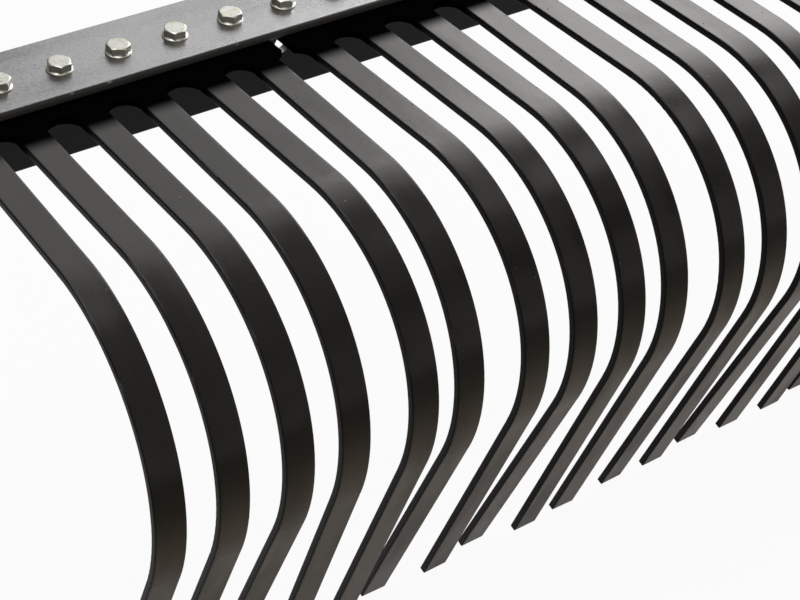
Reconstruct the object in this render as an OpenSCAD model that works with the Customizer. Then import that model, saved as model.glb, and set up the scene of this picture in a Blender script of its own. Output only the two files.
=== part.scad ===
// Head of a landscape rake: a steel angle beam with a row of curved flat-bar
// tines bolted under its top leg by their wide heads.
// +X runs along the beam, +Y points forward to the hitch, +Z is up.
// The origin is on the front face of the upright leg, at mid-length, level
// with the hitch holes. Lengths in millimetres, angles in degrees.

/* [Beam] */
// Length of the angle beam
beam_len = 1219; // [900:1:1900]
// Width of the top leg, front to back
top_leg = 80.5; // [76:0.5:100]
// Height of the upright leg, over the top leg
upright_leg = 116; // [100:1:140]
// Thickness of both legs
leg_t = 8; // [6:0.5:10]
// Radius of the fillet inside the corner
root_r = 6; // [3:0.5:7]
// Radius at the inner edge of each leg's toe
toe_r = 3; // [1:0.5:5]
// Radius at the outer edge of each leg's toe
nose_r = 3; // [1:0.5:3.5]

/* [Hitch holes] */
// Height of the beam's top face over the hitch holes
hitch_drop = 68; // [60:1:80]
// Diameter of a hitch hole
hitch_hole_d = 17.5; // [13:0.5:20]
// Distance between the two holes of one pair
hitch_pair = 81; // [60:1:100]
// Distance between the middles of the two pairs
hitch_spread = 504; // [400:1:600]

/* [Tines] */
// Distance from tine to tine
tine_pitch = 54; // [48:0.5:60]
// Distance of an end tine's root from the end of the beam
end_margin = 52.5; // [30:0.5:80]
// Least distance of an end tine from its neighbour
end_pitch = 43.5; // [40:0.5:50]
// How far the end tines lean outwards
end_lean = 3; // [0:0.25:5]
// Width of the flat bar
tine_w = 25.4; // [20:0.1:28]
// Thickness of the flat bar
tine_t = 6.35; // [5:0.05:8]
// Distance from the bolt row to the end of the slot between two tines
slot_start = 50.5; // [36:0.5:56]
// How far the round end of a slot bites into the tines beside it
slot_bite = 1.0; // [0.9:0.1:1.6]
// How far the head stands proud of each face of the bar
head_swell = 0.05; // [0.02:0.01:0.2]
// Gap between the heads of neighbouring tines
head_seam = 0.5; // [0.3:0.1:1]
// Tines in the group at each end of the beam
end_group = 6; // [3:1:7]
// Gap between the heads of two groups
group_gap = 12.5; // [4:0.5:16]
// Straight bar from the bolt row to the start of the bend
tine_reach = 217.5; // [180:0.5:260]
// Radius of the bend at the middle of the bar
bend_r = 146; // [120:0.5:170]
// Angle of the bend
bend_angle = 108.5; // [90:0.5:120]
// Straight bar from the bend to the tip
shank_len = 249; // [200:1:300]
// Radius of the rounded edges of the bar
bar_edge_r = 0.8; // [0.4:0.1:1.2]
// How far the bar swells on each face where it is bent
bend_swell = 0.05; // [0.02:0.01:0.2]
// Gap between the head of a tine and the fillet in the beam's corner
root_gap = 1; // [0.5:0.1:3]

/* [Bolts] */
// Distance of the bolt row behind the beam's front face
bolt_line = 45; // [40:1:54]
// How far the bolts sit to the right of the middles of the bars
bolt_offset = 2.5; // [0:0.5:4]
// Shank diameter of a tine bolt
bolt_d = 12; // [8:0.5:13]
// Clearance of a bolt in its hole, on the diameter
bolt_clear = 1; // [0.5:0.1:1.5]
// Size of the hexagon across its flats
hex_af = 18; // [16:0.5:18.5]
// Height of the hexagon over the flange
hex_h = 6; // [5:0.5:9]
// Diameter of the flange under the hexagon
flange_d = 22; // [21:0.5:23]
// Thickness of the flange at its rim
flange_rim = 1; // [0.8:0.1:2]
// Rise of the flange from its rim to the hexagon
flange_rise = 1; // [0.8:0.1:1.6]
// Height of the chamfer on the corners of the hexagon
hex_chamfer = 1; // [0.8:0.1:1.8]
// Height of the nut's hexagon over its flange
nut_h = 9; // [6:0.5:11]
// Clearance between the nut and the bolt, on the diameter
nut_clear = 0.2; // [0.1:0.05:0.4]
// Bolt end that stands out of the nut
bolt_stub = 4; // [2:0.5:8]
// Height of the chamfer on the bolt's end
stub_chamfer = 1; // [0.5:0.1:1.4]

/* [Hidden] */
// How far each tine between the end tines leans to one side, from the left
tine_skew = [
    -1.5, -1, -1.5, 0.25, -1.25, 0.75, 0.25, 0, -1, 1,
    0.5, 0.5, -0.25, 0.25, -0.75, 0.5, 1, -0.5, 1.25, 1.5
];
// How far each of them is bent over or under the bend angle
bend_trim = [
    0, 1, -2.5, -1.5, 1, -0.5, 1.5, -1, -0.5, 0,
    -0.5, 1, -0.5, -1, 0.5, -0.5, 1, 0, -1, 0.5
];

paint = [0.07, 0.07, 0.07];
plate_paint = [0.2, 0.2, 0.21];
zinc = [0.75, 0.76, 0.73];

$fn = 64;
// Overlap that carries a cut clear past the face it starts from
past = 1;

end_x = beam_len / 2 - end_margin;
// As many tines as the pitch allows between the end tines, and those two
tine_count = floor(2 * (end_x - end_pitch) / tine_pitch) + 3;

beam_top = hitch_drop;
plate_under = beam_top - leg_t;
head_t = tine_t + 2 * head_swell;
tine_under = plate_under - head_t;
// Head of a tine ahead of the bolt row, up to the gap at the beam's fillet
head_front = bolt_line - leg_t - root_r - root_gap;
// Distance from the bolt row to the neck, where a head has narrowed to the bar
neck = slot_start + (tine_pitch - tine_w) / 2;
bolt_hole_d = bolt_d + bolt_clear;
flange_h = flange_rim + flange_rise;
hex_d = hex_af / cos(30);
nut_total = flange_h + nut_h;
// Bolt from under its head to its end
bolt_len = leg_t + head_t + nut_total + bolt_stub;

function tine_name(k) = k < 10 ? str("tine_0", k) : str("tine_", k);

// Place of tine k along the beam: an end tine at each end, and an even pitch
// about the middle between them. Each bolt is off its tine by the same distance.
function tine_x(k) =
    k == 1 ? -end_x :
    k == tine_count ? end_x :
    (k - (tine_count + 1) / 2) * tine_pitch;
function bolt_x(k) = tine_x(k) + bolt_offset;

// The end tines lean outwards, and the list repeats between them
function lean(k) =
    k == 1 ? -end_lean :
    k == tine_count ? end_lean :
    tine_skew[(k - 2) % len(tine_skew)];
function bend_of(k) =
    k == 1 || k == tine_count
    ? bend_angle
    : bend_angle + bend_trim[(k - 2) % len(bend_trim)];

// The functions below take a tine and one of its sides, -1 or 1
function at_end(k, side) = k + side < 1 || k + side > tine_count;
function group_end(k, side) =
    let (left = side < 0 ? k - 1 : k)
    left == end_group || left == tine_count - end_group;

// Edge of the bar at its neck
function neck_x(k, side) = tine_x(k) + neck * sin(lean(k)) + side * tine_w / 2;

// Middle and radius of the slot's round end
function slot_x(k, side) =
    at_end(k, side)
    ? neck_x(k, side) + side * (tine_pitch - tine_w) / 2
    : (neck_x(k, side) + neck_x(k + side, -side)) / 2;
function slot_r(k, side) = abs(slot_x(k, side) - neck_x(k, side)) + slot_bite;

// Length of the head from the bolt row to the neck
function head_end(k) = slot_start + min(slot_r(k, -1), slot_r(k, 1));

// Width of the head on one side of its middle
function head_w(k, side) =
    at_end(k, side)
    ? tine_pitch / 2
    : abs(tine_x(k + side) - tine_x(k)) / 2
      - (group_end(k, side) ? group_gap : head_seam) / 2;

// Section of the rolled angle, with its corner at the top front
module angle_section() {
    difference() {
        union() {
            translate([-top_leg, -leg_t]) square([top_leg, leg_t]);
            translate([-leg_t, -upright_leg]) square([leg_t, upright_leg]);
            translate([-leg_t - root_r, -leg_t - root_r]) square(root_r);
        }
        translate([-leg_t - root_r, -leg_t - root_r]) circle(root_r);
        translate([-top_leg, -leg_t]) toe_cut(toe_r);
        translate([-leg_t, -upright_leg]) toe_cut(toe_r);
        translate([-top_leg, 0]) mirror([0, 1]) toe_cut(nose_r);
        translate([0, -upright_leg]) mirror([1, 0]) toe_cut(nose_r);
    }
}

// Square corner less its quarter round, at an edge of a toe
module toe_cut(r) {
    difference() {
        translate([-past, -past]) square(r + past);
        translate([r, r]) circle(r);
    }
}

module beam() {
    color(plate_paint)
    difference() {
        translate([0, 0, beam_top])
            rotate([90, 0, 90])
                linear_extrude(beam_len, center = true) angle_section();
        for (k = [1:tine_count])
            translate([bolt_x(k), -bolt_line, plate_under - past])
                cylinder(d = bolt_hole_d, h = leg_t + 2 * past);
        for (side = [-1, 1], hole = [-1, 1])
            translate([side * hitch_spread / 2 + hole * hitch_pair / 2, past, 0])
                rotate([90, 0, 0])
                    cylinder(d = hitch_hole_d, h = leg_t + 2 * past);
    }
}

// Section of the flat bar, with its edges rounded and its faces swollen
module bar_section(swell = 0) {
    bar_w = tine_w + 2 * swell;
    bar_t = tine_t + 2 * swell;
    core_w = bar_w - 2 * bar_edge_r;
    core_t = bar_t - 2 * bar_edge_r;
    square([bar_w, core_t], center = true);
    square([core_w, bar_t], center = true);
    for (sx = [-1, 1], sy = [-1, 1])
        translate([sx * core_w / 2, sy * core_t / 2]) circle(bar_edge_r, $fn = 24);
}

// Bar of a tine from the bolt row to its tip, bent by an angle, at mid-height of a
// head that hangs from Z = 0
module tine_bar(angle) {
    translate([0, 0, -head_t / 2]) {
        // straight bar, run into the bend
        rotate([90, 0, 0])
            linear_extrude(tine_reach + past) bar_section();
        // bend, down and round towards the front
        translate([0, -tine_reach, -bend_r]) {
            rotate([0, -90, 180]) bend(angle);
            // straight shank to the tip, run into the bend
            rotate([angle, 0, 0])
                translate([0, past, bend_r])
                    rotate([90, 0, 0])
                        linear_extrude(shank_len + past) bar_section();
        }
    }
}

// Bend of the bar about the Z axis, starting on +X
module bend(angle) {
    rotate_extrude(angle = angle, $fn = 128)
        translate([bend_r, 0])
            rotate(90) bar_section(bend_swell);
}

// Outline of the head of tine k on one side of its middle, narrowed to the bar by
// the round end of the slot
module half_head(k, side) {
    w = head_w(k, side);
    r = slot_r(k, side);
    difference() {
        translate([side < 0 ? -w : -past, -head_end(k)])
            square([w + past, head_front + head_end(k)]);
        translate([slot_x(k, side) - tine_x(k), -slot_start - r]) circle(r);
    }
}

// Tine k: a wide head under the beam and a bar that leans from it
module tine(k) {
    color(paint)
    translate([tine_x(k), -bolt_line, plate_under])
        difference() {
            union() {
                translate([0, 0, -head_t])
                    linear_extrude(head_t) {
                        half_head(k, -1);
                        half_head(k, 1);
                    }
                rotate([0, 0, lean(k)]) tine_bar(bend_of(k));
            }
            translate([bolt_offset, 0, -head_t - past])
                cylinder(d = bolt_hole_d, h = head_t + 2 * past);
        }
}

// Hexagon with its corners chamfered by a cone, standing on Z = 0
module hexagon(h) {
    intersection() {
        cylinder(d = hex_d, h = h, $fn = 6);
        union() {
            cylinder(d = hex_d + past, h = h - hex_chamfer);
            translate([0, 0, h - hex_chamfer])
                cylinder(d1 = hex_d + past, d2 = hex_af - past, h = hex_chamfer);
        }
    }
}

// Flange under a hexagon: an upright rim, then a cone
module flange() {
    cylinder(d = flange_d, h = flange_rim);
    translate([0, 0, flange_rim])
        cylinder(d1 = flange_d, d2 = hex_af, h = flange_rise);
}

// Flange bolt, seated at Z = 0 with its head up
module flange_bolt() {
    flange();
    translate([0, 0, flange_rim]) hexagon(flange_rise + hex_h);
    translate([0, 0, -bolt_len + stub_chamfer])
        cylinder(d = bolt_d, h = bolt_len - stub_chamfer);
    translate([0, 0, -bolt_len])
        cylinder(d1 = bolt_d - 2 * stub_chamfer, d2 = bolt_d, h = stub_chamfer);
}

// Flange nut, seated at Z = 0 and hanging down
module flange_nut() {
    mirror([0, 0, 1])
        difference() {
            union() {
                flange();
                translate([0, 0, flange_rim]) hexagon(flange_rise + nut_h);
            }
            translate([0, 0, -past])
                cylinder(d = bolt_d + nut_clear, h = nut_total + 2 * past);
        }
}

module bolts() {
    color(zinc)
    for (k = [1:tine_count])
        translate([bolt_x(k), -bolt_line, beam_top])
            rotate([0, 0, hex_turn(k)]) flange_bolt();
}

module nuts() {
    color(zinc)
    for (k = [1:tine_count])
        translate([bolt_x(k), -bolt_line, tine_under])
            rotate([0, 0, hex_turn(k)]) flange_nut();
}

// Each hexagon stops at its own angle when it is tightened
function hex_turn(k) = (k * 23) % 60;

beam();
bolts();
nuts();
for (k = [1:tine_count])
    tine(k);
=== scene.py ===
"""Looks of a landscape rake head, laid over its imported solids.

Lengths are in metres and angles in degrees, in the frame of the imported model:
+X runs along the beam, +Y points forward to the hitch and +Z is up.
"""

import logging
import math
from dataclasses import dataclass
from enum import Enum
from typing import Any, Mapping, Optional, Union

import bmesh
import bpy
from mathutils import Matrix, Vector


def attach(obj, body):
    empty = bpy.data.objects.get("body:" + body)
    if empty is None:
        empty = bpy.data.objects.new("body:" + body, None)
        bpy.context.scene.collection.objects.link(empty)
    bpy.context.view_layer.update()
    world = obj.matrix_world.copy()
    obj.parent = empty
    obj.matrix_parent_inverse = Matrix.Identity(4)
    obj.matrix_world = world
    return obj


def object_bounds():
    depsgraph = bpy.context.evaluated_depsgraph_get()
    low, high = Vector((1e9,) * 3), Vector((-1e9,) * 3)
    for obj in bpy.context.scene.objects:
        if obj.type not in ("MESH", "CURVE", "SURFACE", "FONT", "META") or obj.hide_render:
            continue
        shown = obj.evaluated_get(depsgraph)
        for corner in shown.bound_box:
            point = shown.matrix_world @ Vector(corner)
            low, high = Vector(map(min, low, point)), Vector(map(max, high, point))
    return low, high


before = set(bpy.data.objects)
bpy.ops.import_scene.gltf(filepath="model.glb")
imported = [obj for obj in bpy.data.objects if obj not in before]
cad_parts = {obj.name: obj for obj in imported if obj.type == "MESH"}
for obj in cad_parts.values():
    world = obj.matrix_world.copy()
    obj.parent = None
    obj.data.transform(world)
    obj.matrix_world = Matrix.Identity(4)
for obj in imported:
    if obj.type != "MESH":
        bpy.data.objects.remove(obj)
CAD_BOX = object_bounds()

Colour = tuple[float, float, float]
Triple = tuple[float, float, float]
Span = tuple[float, float]

BLACK: Colour = (0.0, 0.0, 0.0)
WHITE: Colour = (1.0, 1.0, 1.0)

log = logging.getLogger("rake_head")


class Slot(Enum):
    """Material slots of the record."""

    BEAM = "beam_paint"
    TINE = "tine_paint"
    ZINC = "zinc"


class Value:
    """A number or colour at a socket, for use in expressions."""

    def __init__(self, shader: "Shader", socket: bpy.types.NodeSocket) -> None:
        """Keeps the socket and the shader that it belongs to."""
        self.shader = shader
        self.socket = socket

    def _math(self, operation: str, first: Any, second: Any = 0.0) -> "Value":
        """Adds one Math node.

        Args:
            operation: Blender's name of the operation.
            first: Value or number of the first socket.
            second: Value or number of the second socket.

        Returns:
            The node's result.
        """
        return self.shader.node(
            "ShaderNodeMath", {"operation": operation}, {0: first, 1: second}
        )

    def __add__(self, other: Any) -> "Value":
        """Sum."""
        return self._math("ADD", self, other)

    __radd__ = __add__

    def __rsub__(self, other: Any) -> "Value":
        """What is left of a number."""
        return self._math("SUBTRACT", other, self)

    def __mul__(self, other: Any) -> "Value":
        """Product."""
        return self._math("MULTIPLY", self, other)

    __rmul__ = __mul__

    def __abs__(self) -> "Value":
        """Size without its sign."""
        return self._math("ABSOLUTE", self)

    def __or__(self, other: Any) -> "Value":
        """The larger of two masks."""
        return self._math("MAXIMUM", self, other)


class Shader:
    """The node tree of one material, or of the world."""

    def __init__(self, tree: bpy.types.NodeTree) -> None:
        """Empties the tree and keeps it."""
        self.tree = tree
        tree.nodes.clear()

    def node(
        self,
        kind: str,
        settings: Optional[Mapping[str, Any]] = None,
        inputs: Optional[Mapping[Union[str, int], Any]] = None,
        out: Union[str, int] = 0,
    ) -> Value:
        """Adds a node.

        Args:
            kind: Blender's type of the node.
            settings: The node's own settings, set before its sockets.
            inputs: Values or links of its sockets, by name or number.
            out: Name or number of the output to return.

        Returns:
            The chosen output.
        """
        made = self.tree.nodes.new(kind)
        for key, setting in (settings or {}).items():
            setattr(made, key, setting)
        for key, given in (inputs or {}).items():
            socket = made.inputs[key]
            if isinstance(given, Value):
                self.tree.links.new(given.socket, socket)
            else:
                socket.default_value = given
        return Value(self, made.outputs[out] if len(made.outputs) else None)

    def place(self, stretch: Triple = (1.0, 1.0, 1.0)) -> Value:
        """Position on the object, in metres.

        Args:
            stretch: Factor on each axis.

        Returns:
            The position as a vector.
        """
        spot = self.node("ShaderNodeTexCoord", out="Object")
        return self.node("ShaderNodeMapping", None, {"Vector": spot, "Scale": stretch})

    def coordinate(self, axis: str) -> Value:
        """Position along one axis of the head: X, Y or Z, in metres."""
        return self.node("ShaderNodeSeparateXYZ", None, {0: self.place()}, axis)

    def facing(self, axis: str, normal: Optional[Value] = None) -> Value:
        """How far the surface faces along one axis.

        Args:
            axis: X, Y or Z.
            normal: Normal to take in place of the surface's own.

        Returns:
            That part of the normal, from -1 to 1.
        """
        normal = normal or self.node("ShaderNodeNewGeometry", out="Normal")
        return self.node("ShaderNodeSeparateXYZ", None, {0: normal}, axis)

    def softened(self, radius: float) -> Value:
        """Normal of the surface with its edges softened to a radius, in metres."""
        return self.node("ShaderNodeBevel", {"samples": 4}, {"Radius": radius})

    def noise(self, place: Value, per_metre: float, detail: float = 2.0) -> Value:
        """Smooth noise from 0 to 1.

        Args:
            place: Position that it follows.
            per_metre: Number of blotches in a metre.
            detail: Layers of finer noise over it.

        Returns:
            The noise.
        """
        return self.node(
            "ShaderNodeTexNoise",
            None,
            {"Vector": place, "Scale": per_metre, "Detail": detail},
        )

    def step(self, value: Value, low: float, high: float) -> Value:
        """Soft step from 0 to 1.

        Args:
            value: Number to test.
            low: Where the step starts.
            high: Where it ends.

        Returns:
            The step.
        """
        return self.node(
            "ShaderNodeMapRange",
            {"interpolation_type": "SMOOTHSTEP"},
            {"Value": value, "From Min": low, "From Max": high},
        )

    def specks(
        self, place: Value, per_metre: float, size: float, share: float
    ) -> Value:
        """Scattered round specks.

        Args:
            place: Position that they follow.
            per_metre: Number of cells in a metre, each with one speck at most.
            size: Radius of a speck as a part of its cell.
            share: Part of the cells that have a speck.

        Returns:
            A mask, 1 in the middle of a speck.
        """
        given = {"Vector": place, "Scale": per_metre}
        away = self.node("ShaderNodeTexVoronoi", None, given, "Distance")
        lot = self.node("ShaderNodeTexVoronoi", None, given, "Color")
        drawn = self.node("ShaderNodeSeparateColor", None, {0: lot}, "Red")
        return self.step(away, size, size * 0.3) * self.step(drawn, share, share * 0.7)

    def blend(self, mask: Any, under: Any, over: Any) -> Value:
        """Mixes two colours.

        Args:
            mask: 0 for the first, 1 for the second.
            under: First colour.
            over: Second colour.

        Returns:
            The mixed colour.
        """
        pair = [c if isinstance(c, Value) else (*c, 1.0) for c in (under, over)]
        return self.node(
            "ShaderNodeMix",
            {"data_type": "RGBA"},
            {0: mask, 6: pair[0], 7: pair[1]},
            2,
        )

    def bump(
        self, height: Value, depth: float = 1.0, normal: Optional[Value] = None
    ) -> Value:
        """Turns a height into a normal.

        Args:
            height: Height, as a share of the depth.
            depth: Real depth of a height of 1, in metres.
            normal: Normal that the height stands on, if not the surface's own.

        Returns:
            The normal.
        """
        given = {"Height": height, "Distance": depth, "Strength": 1.0}
        if normal:
            given["Normal"] = normal
        return self.node("ShaderNodeBump", None, given)

    def surface(self, **sockets: Any) -> Value:
        """Adds a Principled shader.

        Args:
            **sockets: Its sockets, with _ for each space in their names.

        Returns:
            The shader.
        """
        given = {
            key.replace("_", " "): (*s, 1.0) if isinstance(s, tuple) else s
            for key, s in sockets.items()
        }
        return self.node("ShaderNodeBsdfPrincipled", None, given)

    def mix(self, mask: Value, under: Value, over: Value) -> Value:
        """Mixes two shaders, the second where the mask is 1."""
        return self.node("ShaderNodeMixShader", None, {0: mask, 1: under, 2: over})

    def finish(self, shader: Value, kind: str = "ShaderNodeOutputMaterial") -> None:
        """Links a shader to the tree's output."""
        self.node(kind, None, {"Surface": shader})


def new_material(name: str) -> tuple[bpy.types.Material, Shader]:
    """Makes an empty material.

    Args:
        name: Its name.

    Returns:
        The material and its shader.
    """
    material = bpy.data.materials.new(name)
    material.use_nodes = True
    return material, Shader(material.node_tree)


@dataclass(frozen=True)
class TineEnamel:
    """Black enamel on flat bar.

    It is glossy on the flat and the bend, and dull down the shank, where its
    colour is a painted reflection: dark just below the bend, lighter down the
    shank and lighter still towards +X. The narrow sides are a darker copy with
    little gloss, as painted shade. The head is painted shade in flat
    near-black without gloss, and so is a dark line along the rounded edges. In
    places the rounded edges are lighter, partly worn paint and partly a painted
    highlight. A span is where a mask starts and where it is full: in metres
    along an axis of the head, or as the part of the normal along X.
    """

    pigment: Colour = (0.0070, 0.0066, 0.0062)
    cloud: Colour = (0.0115, 0.0105, 0.0098)
    # Painted reflection for the dull lower part: dark just below the bend, lighter down
    # the shank, lighter still towards +X.
    under_bend_painted_reflection: Colour = (0.026, 0.0228, 0.0188)
    shank: Colour = (0.094, 0.076, 0.056)
    painted_reflection_plus_x: Colour = (0.165, 0.141, 0.115)
    shine: Colour = (1.0, 0.965, 0.935)
    # Partly worn paint, partly a painted highlight on the rounded edges.
    worn_edge_and_highlight: Colour = (0.20, 0.19, 0.18)
    dust: Colour = (0.16, 0.15, 0.14)
    # Painted shade: the narrow sides are a darker colour than the flat.
    side: Colour = (0.0025, 0.0021, 0.0017)
    # Painted shade: a flat near-black for the head and the edge corners.
    painted_shade_black: Colour = (0.0016, 0.0015, 0.0014)
    gloss_level: float = 0.6
    gloss_roughness: float = 0.21
    cloud_roughness: float = 0.10
    shank_roughness: float = 0.28
    shank_gloss: float = 0.03
    side_roughness: float = 0.40
    side_gloss: float = 0.055
    matt_roughness: float = 0.55
    haze_roughness: float = 0.06
    edge_radius: float = 0.0025
    narrow_turn: Span = (0.55, 0.85)
    # Spans and share of the painted shade along the edge corners.
    corner_shade_turn: Span = (0.30, 0.60)
    corner_shade_end: Span = (0.95, 0.80)
    corner_shade_share: float = 0.75
    wear_and_highlight_turn: Span = (0.10, 0.35)
    low_z: Span = (0.0, -0.045)
    shank_z: Span = (-0.045, -0.115)
    # Span along X over which the shank's painted reflection grows lighter.
    painted_reflection_plus_x_span: Span = (-0.12, 0.25)
    # Span along Y of the head's painted shade.
    head_shade_y: Span = (-0.1325, -0.1135)
    peel_depth: float = 0.000010
    ripple_depth: float = 0.0005
    wave_depth: float = 0.00014
    nib_depth: float = 0.00018

    def material(self) -> bpy.types.Material:
        """Builds the finish."""
        material, shader = new_material("tine_enamel")
        place = shader.place()
        along = shader.place((1.0, 0.35, 0.35))
        cloud = shader.step(shader.noise(along, 26, 3), 0.42, 0.68)
        haze = shader.noise(place, 7, 2)
        nibs = shader.specks(place, 130, 0.16, 0.12)
        dust = shader.specks(place, 300, 0.17, 0.09)
        soft = shader.softened(self.edge_radius)
        across = abs(shader.facing("X", soft))
        narrow = shader.step(across, *self.narrow_turn)
        # Lighter rounded edges in places: partly worn paint, partly a painted highlight.
        chipped = shader.step(shader.noise(along, 70, 3), 0.58, 0.68)
        turned = shader.step(abs(shader.facing("X")), *self.wear_and_highlight_turn)
        worn = turned * chipped * (1 - narrow)
        # Painted shade: a dark line along the corner between the face and the narrow side,
        # left off where the edge is lighter.
        corner = (
            shader.step(across, *self.corner_shade_turn)
            * shader.step(across, *self.corner_shade_end)
            * (1 - worn)
        )
        height = (
            shader.noise(place, 420, 1) * self.peel_depth
            + shader.noise(along, 22, 1) * self.ripple_depth
            + shader.noise(place, 52, 2) * self.wave_depth
            + nibs * self.nib_depth
        )
        normal = shader.bump(height, normal=soft)
        colour = shader.blend(cloud * 0.8, self.pigment, self.cloud)
        colour = shader.blend(dust * 0.5, colour, self.dust)
        colour = shader.blend(worn, colour, self.worn_edge_and_highlight)
        gloss = shader.surface(
            Base_Color=colour,
            Specular_IOR_Level=self.gloss_level,
            Specular_Tint=self.shine,
            Roughness=(
                self.gloss_roughness
                + self.cloud_roughness * cloud
                + self.haze_roughness * haze
            ),
            Normal=normal,
        )
        # Painted reflection: the dull lower part gets a lighter colour in place of its
        # reflection, dark below the bend, lighter down the shank and towards +X, with real
        # dust specks over it.
        drop = shader.coordinate("Z")
        painted_reflection_plus_x = shader.step(shader.coordinate("X"), *self.painted_reflection_plus_x_span)
        dust_and_painted_reflection = shader.blend(
            shader.step(drop, *self.shank_z),
            self.under_bend_painted_reflection,
            shader.blend(painted_reflection_plus_x, self.shank, self.painted_reflection_plus_x),
        )
        dust_and_painted_reflection = shader.blend(cloud * 0.4, dust_and_painted_reflection, self.under_bend_painted_reflection)
        dust_and_painted_reflection = shader.blend(dust * 0.5, dust_and_painted_reflection, self.dust)
        dull = shader.surface(
            Base_Color=dust_and_painted_reflection,
            Roughness=self.shank_roughness + self.cloud_roughness * cloud,
            Specular_IOR_Level=self.shank_gloss,
            Normal=normal,
        )
        # Painted shade: the narrow sides are a darker copy of the enamel with little
        # gloss.
        side = shader.surface(
            Base_Color=self.side,
            Roughness=self.side_roughness,
            Specular_IOR_Level=self.side_gloss,
            Normal=normal,
        )
        # The painted shade: near-black without gloss, for the head and the edge corners.
        painted_shade = shader.surface(
            Base_Color=self.painted_shade_black,
            Roughness=self.matt_roughness,
            Specular_IOR_Level=0.0,
        )
        low = shader.step(drop, *self.low_z)
        # Painted shade: the head near the beam turns flat near-black without gloss.
        head = shader.step(shader.coordinate("Y"), *self.head_shade_y)
        bar = shader.mix(narrow, shader.mix(low, gloss, dull), side)
        shader.finish(shader.mix(head | corner * self.corner_shade_share, bar, painted_shade))
        return material


@dataclass(frozen=True)
class BeamSatin:
    """Satin black paint on the angle beam.

    The top leg has a sheen at a slant, which is dulled in blotches and towards
    the ends, and is dull from straight above. The other faces are flat black,
    except the rear edge face of the top leg, which is painted light: a lighter
    grey. A span is where a mask starts and where it is full: in metres along
    an axis of the head, as the part of the normal along Z, or as the slant of
    the view.
    """

    pigment: Colour = (0.020, 0.021, 0.023)
    streak: Colour = (0.030, 0.031, 0.033)
    dust: Colour = (0.22, 0.22, 0.21)
    flat_black: Colour = (0.015, 0.015, 0.0145)
    # Painted light: lighter grey on the rear edge face of the top leg.
    toe_painted_light: Colour = (0.085, 0.085, 0.087)
    bare: Colour = (0.42, 0.40, 0.36)
    top_roughness: float = 0.27
    top_ior: float = 2.65
    dulled_gloss: float = 0.45
    streak_roughness: float = 0.07
    flat_roughness: float = 0.5
    flat_gloss: float = 0.16
    grain_depth: float = 0.00012
    scale_depth: float = 0.0003
    edge_turn: Span = (0.97, 0.80)
    edge_end: Span = (0.10, 0.45)
    top_turn: Span = (0.22, 0.92)
    toe_light_y: Span = (-0.077, -0.080)
    ends_x: Span = (0.35, 0.60)
    sheen_slant: Span = (0.12, 0.36)
    wear: float = 0.16
    end_wear: float = 0.22
    end_dulling: float = 0.2

    def material(self) -> bpy.types.Material:
        """Builds the finish."""
        material, shader = new_material("beam_satin")
        place = shader.place()
        drawn = shader.place((0.2, 1.0, 1.0))
        streak = shader.step(shader.noise(drawn, 110, 3), 0.40, 0.70)
        grain = shader.noise(place, 700, 2)
        scale = shader.noise(place, 45, 3)
        fine = shader.noise(shader.place((0.55, 1.0, 1.0)), 620, 2)
        mottle = shader.step(fine, 0.40, 0.74)
        patch = shader.step(shader.noise(drawn, 34, 3), 0.40, 0.72)
        dust = shader.specks(place, 190, 0.2, 0.10)
        nick = shader.specks(place, 90, 0.34, 0.30)
        up = shader.facing("Z")
        edge = shader.step(up, *self.edge_turn) * shader.step(up, *self.edge_end)
        # Painted light on the rear edge face of the top leg, lighter than the other flat
        # faces.
        toe_light = shader.step(shader.coordinate("Y"), *self.toe_light_y)
        colour = shader.blend(streak * 0.6, self.pigment, self.streak)
        colour = shader.blend(dust * 0.45, colour, self.dust)
        colour = shader.blend(edge * nick, colour, self.bare)
        normal = shader.bump(grain * self.grain_depth + scale * self.scale_depth)
        sheen = shader.surface(
            Base_Color=colour,
            Roughness=self.top_roughness + self.streak_roughness * streak,
            IOR=self.top_ior,
            Specular_IOR_Level=1.0,
            Normal=normal,
        )
        dulled = shader.surface(
            Base_Color=colour,
            Roughness=self.flat_roughness,
            Specular_IOR_Level=self.dulled_gloss,
            Normal=normal,
        )
        flat = shader.surface(
            Base_Color=shader.blend(toe_light, self.flat_black, self.toe_painted_light),
            Roughness=self.flat_roughness,
            Specular_IOR_Level=self.flat_gloss,
            Normal=normal,
        )
        ends = shader.step(abs(shader.coordinate("X")), *self.ends_x)
        blotches = (mottle + patch) * (self.wear + ends * self.end_wear)
        worn = blotches + ends * self.end_dulling
        slant = shader.node("ShaderNodeLayerWeight", None, {"Blend": 0.5}, "Facing")
        gleam = shader.step(slant, *self.sheen_slant) * (1 - worn)
        top = shader.mix(gleam, dulled, sheen)
        shader.finish(shader.mix(shader.step(up, *self.top_turn), flat, top))
        return material


@dataclass(frozen=True)
class ZincPlate:
    """Bright zinc plate with a faint yellow-green passivate."""

    bright: Colour = (0.66, 0.66, 0.62)
    passivate: Colour = (0.58, 0.58, 0.47)
    dull: Colour = (0.34, 0.34, 0.31)
    roughness: float = 0.32
    dull_roughness: float = 0.22
    pit_depth: float = 0.00006

    def material(self) -> bpy.types.Material:
        """Builds the finish."""
        material, shader = new_material("zinc_plate")
        place = shader.place()
        tint = shader.step(shader.noise(place, 90, 2), 0.40, 0.65)
        dull = shader.step(shader.noise(place, 330, 3), 0.48, 0.72)
        colour = shader.blend(tint * 0.7, self.bright, self.passivate)
        colour = shader.blend(dull * 0.4, colour, self.dull)
        shader.finish(
            shader.surface(
                Base_Color=colour,
                Metallic=1.0,
                Roughness=self.roughness + self.dull_roughness * dull,
                Normal=shader.bump(shader.noise(place, 900, 2), self.pit_depth),
            )
        )
        return material


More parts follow.
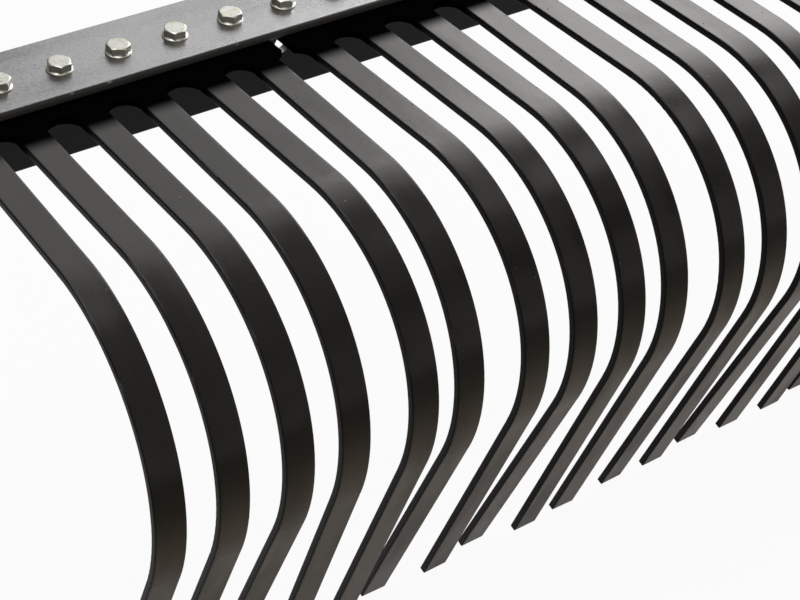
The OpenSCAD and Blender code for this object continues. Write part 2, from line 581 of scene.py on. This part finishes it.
@dataclass(frozen=True)
class StudioWhite:
    """White floor that shows white and keeps a faint shadow."""

    white: Colour = (0.9, 0.9, 0.9)
    kept_shadow: float = 0.06

    def material(self) -> bpy.types.Material:
        """Builds the finish."""
        material, shader = new_material("studio_white")
        lit = shader.surface(
            Base_Color=self.white, Roughness=0.9, Specular_IOR_Level=0.0
        )
        glow = shader.node(
            "ShaderNodeEmission", None, {"Color": (*WHITE, 1.0), "Strength": 1.0}
        )
        shown = seen_directly(shader) * (1 - self.kept_shadow)
        shader.finish(shader.mix(shown, lit, glow))
        return material


def seen_directly(shader: Shader) -> Value:
    """Mask of the rays that see a backdrop: from the camera, or off gloss or glass.

    Args:
        shader: Tree that the mask is for.

    Returns:
        The mask, 1 for such a ray.
    """
    ray = [
        shader.node("ShaderNodeLightPath", out=name)
        for name in ("Is Camera Ray", "Is Glossy Ray", "Is Transmission Ray")
    ]
    return ray[0] | ray[1] | ray[2]


def paint(piece: bpy.types.Object, material: bpy.types.Material) -> None:
    """Puts one material in every slot of a piece.

    Args:
        piece: Mesh to paint.
        material: Finish that it gets.
    """
    if not piece.material_slots:
        piece.data.materials.append(material)
    for slot in piece.material_slots:
        slot.material = material


def add_object(name: str, data: bpy.types.ID) -> bpy.types.Object:
    """Adds an object to the scene.

    Args:
        name: Its name.
        data: Its mesh, light or camera.

    Returns:
        The object.
    """
    made = bpy.data.objects.new(name, data)
    bpy.context.scene.collection.objects.link(made)
    return made


def add_mesh(name: str, mesh: bmesh.types.BMesh) -> bpy.types.Object:
    """Adds an object that is made from a mesh.

    Args:
        name: Its name.
        mesh: Its mesh, which is freed.

    Returns:
        The object.
    """
    data = bpy.data.meshes.new(name)
    mesh.to_mesh(data)
    mesh.free()
    return add_object(name, data)


def new_piece(name: str, mesh: bmesh.types.BMesh) -> bpy.types.Object:
    """Makes a piece of the object from a mesh.

    Args:
        name: The piece's name.
        mesh: Its mesh, which is freed.

    Returns:
        The piece, riding on the head.
    """
    piece = add_mesh(name, mesh)
    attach(piece, "root")
    return piece


@dataclass
class Beam:
    """The angle beam."""

    finish: BeamSatin = BeamSatin()

    def dress(self) -> None:
        """Paints the beam."""
        paint(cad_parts["beam"], self.finish.material())
        log.info("beam: satin black")


@dataclass
class TineRow:
    """The row of curved tines."""

    finish: TineEnamel = TineEnamel()

    def dress(self) -> None:
        """Paints every tine."""
        material = self.finish.material()
        tines = [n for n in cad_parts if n.startswith("tine_")]
        for name in sorted(tines):
            paint(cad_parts[name], material)
            log.info("%s: gloss black", name)


@dataclass
class Fasteners:
    """Tine bolts and nuts, with the threads on the bolts' ends."""

    count: int = 22
    pitch: float = 0.054
    end_x: float = 0.557
    offset: float = 0.0025
    line_y: float = -0.045
    nut_face_z: float = 0.04255
    thread_len: float = 0.003
    thread_pitch: float = 0.0015
    root_radius: float = 0.0059
    crest_radius: float = 0.00618
    root_share: float = 0.88
    crest_share: float = 0.15
    steps: int = 28
    finish: ZincPlate = ZincPlate()

    def places(self) -> list[Vector]:
        """Where each bolt comes out of its nut."""
        row = [(k - (self.count - 1) / 2) * self.pitch for k in range(self.count)]
        row[0], row[-1] = -self.end_x, self.end_x
        return [Vector((x + self.offset, self.line_y, self.nut_face_z)) for x in row]

    def threads(self) -> bpy.types.Object:
        """Winds a thread round the end of each bolt.

        Returns:
            The threads, as one piece.
        """
        mesh = bmesh.new()
        turns = self.thread_len / self.thread_pitch
        half = self.thread_pitch * self.root_share / 2
        crest = half * self.crest_share
        for top in self.places():
            rows = []
            for i in range(round(turns * self.steps) + 1):
                angle = math.tau * i / self.steps
                z = top.z - self.thread_pitch * i / self.steps
                out = Vector((math.cos(angle), math.sin(angle), 0))
                rows.append([
                    mesh.verts.new(Vector((top.x, top.y, z + dz)) + out * r)
                    for r, dz in (
                        (self.root_radius, half),
                        (self.crest_radius, crest),
                        (self.crest_radius, -crest),
                        (self.root_radius, -half),
                    )
                ])
            for a, b in zip(rows, rows[1:]):
                for j in range(3):
                    mesh.faces.new((a[j], b[j], b[j + 1], a[j + 1]))
            mesh.faces.new(rows[0])
            mesh.faces.new(reversed(rows[-1]))
        bmesh.ops.recalc_face_normals(mesh, faces=mesh.faces)
        return new_piece("bolt_threads", mesh)

    def dress(self) -> None:
        """Adds the threads and plates everything with zinc."""
        material = self.finish.material()
        for piece in (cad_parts["bolts"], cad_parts["nuts"], self.threads()):
            paint(piece, material)
            log.info("%s: zinc", piece.name)


@dataclass(frozen=True)
class SoftLight:
    """A large soft light that faces the head."""

    name: str
    azimuth: float
    elevation: float
    size: Span
    radiance: float
    away: float = 9.0

    def hang(self) -> None:
        """Hangs the light."""
        data = bpy.data.lights.new(self.name, "AREA")
        data.shape = "RECTANGLE"
        data.size, data.size_y = self.size
        data.energy = self.radiance * math.pi * self.size[0] * self.size[1]
        lamp = add_object(self.name, data)
        way = toward(self.azimuth, self.elevation)
        lamp.location = way * self.away
        lamp.rotation_euler = way.to_track_quat("Z", "Y").to_euler()
        log.info("%s: %.0f W", self.name, data.energy)


def toward(azimuth: float, elevation: float) -> Vector:
    """Direction at an angle from +Y towards +X, and above the horizon."""
    a, e = math.radians(azimuth), math.radians(elevation)
    return Vector((math.sin(a) * math.cos(e), math.cos(a) * math.cos(e), math.sin(e)))


@dataclass
class Studio:
    """Floor, lights and camera.

    The backdrop, the flag and the shade each lie at an azimuth and an elevation,
    and reach out to where the cosine of the angle from there has fallen.
    """

    image_width: int = 800
    camera_place: Triple = (-1.12225, -1.25828, 0.93298)
    azimuth: float = 40.882
    elevation: float = 38.062
    roll: float = 6.359
    focal_pixels: float = 2001.4
    sensor: float = 36.0
    floor_half: float = 40.0
    floor_drop: float = 0.0005
    lights: tuple[SoftLight, ...] = (
        SoftLight("key", 57.0, 25.5, (4.5, 5.7), 2.75),
        SoftLight("overhead", -30.0, 78.0, (5.0, 5.0), 2.3),
        SoftLight("side", 101.0, 48.0, (2.9, 2.4), 0.9),
    )
    backdrop: Span = (45.0, 28.0)
    backdrop_reach: Span = (0.86, 0.95)
    flag: Span = (138.0, 30.0)
    flag_reach: Span = (0.985, 0.997)
    shade: Span = (-65.0, 20.0)
    shade_reach: Span = (0.45, 0.80)
    darkness: float = 0.65
    dim: Colour = (0.29, 0.27, 0.245)
    bright: Colour = (1.28, 1.28, 1.28)
    finish: StudioWhite = StudioWhite()

    def floor(self) -> None:
        """Lays the floor under the tips of the tines."""
        mesh = bmesh.new()
        bmesh.ops.create_grid(mesh, x_segments=1, y_segments=1, size=self.floor_half)
        floor = add_mesh("floor", mesh)
        floor.location = (0.0, 0.0, CAD_BOX[0].z - self.floor_drop)
        paint(floor, self.finish.material())
        log.info("floor: studio white")

    def world(self) -> None:
        """Lights the room: white backdrop on the far side, dim round the camera.

        The camera sees white all round, and gloss and glass see the white backdrop.
        """
        world = bpy.data.worlds.new("studio")
        world.use_nodes = True
        bpy.context.scene.world = world
        shader = Shader(world.node_tree)
        way = shader.node("ShaderNodeTexCoord", out="Generated")
        near_backdrop, near_flag, near_shade = (
            shader.node(
                "ShaderNodeVectorMath",
                {"operation": "DOT_PRODUCT"},
                {0: way, 1: tuple(toward(*aim))},
                "Value",
            )
            for aim in (self.backdrop, self.flag, self.shade)
        )
        backdrop = shader.step(near_backdrop, *self.backdrop_reach)
        tone = shader.blend(backdrop, self.dim, self.bright)
        flag = shader.step(near_flag, *self.flag_reach)
        shade = shader.step(near_shade, *self.shade_reach)
        tone = shader.blend((flag | shade) * self.darkness, tone, BLACK)
        camera = shader.node("ShaderNodeLightPath", out="Is Camera Ray")
        seen = camera | seen_directly(shader) * backdrop
        tone = shader.blend(seen, tone, WHITE)
        light = shader.node(
            "ShaderNodeBackground", None, {"Color": tone, "Strength": 1.0}
        )
        shader.finish(light, "ShaderNodeOutputWorld")
        log.info("world: soft white")

    def camera(self) -> None:
        """Sets the camera at the photograph's angle."""
        ahead = toward(self.azimuth, -self.elevation)
        level = ahead.cross(Vector((0, 0, 1))).normalized()
        upright = level.cross(ahead)
        r = math.radians(self.roll)
        right = math.cos(r) * level + math.sin(r) * upright
        up = math.cos(r) * upright - math.sin(r) * level
        turn = Matrix((right, up, -ahead)).transposed()
        data = bpy.data.cameras.new("camera")
        data.sensor_fit = "HORIZONTAL"
        data.sensor_width = self.sensor
        data.lens = self.focal_pixels / self.image_width * self.sensor
        camera = add_object("camera", data)
        camera.matrix_world = Matrix.Translation(self.camera_place) @ turn.to_4x4()
        bpy.context.scene.camera = camera
        log.info("camera: %.1f mm", data.lens)

    def set_up(self) -> None:
        """Builds the whole studio."""
        bpy.context.scene.view_settings.view_transform = "Standard"
        self.floor()
        self.world()
        for light in self.lights:
            light.hang()
        self.camera()


def main() -> None:
    """Dresses the head and sets up the studio."""
    logging.basicConfig(level=logging.INFO)
    Studio().set_up()
    Beam().dress()
    TineRow().dress()
    Fasteners().dress()


if __name__ == "__main__":
    main()
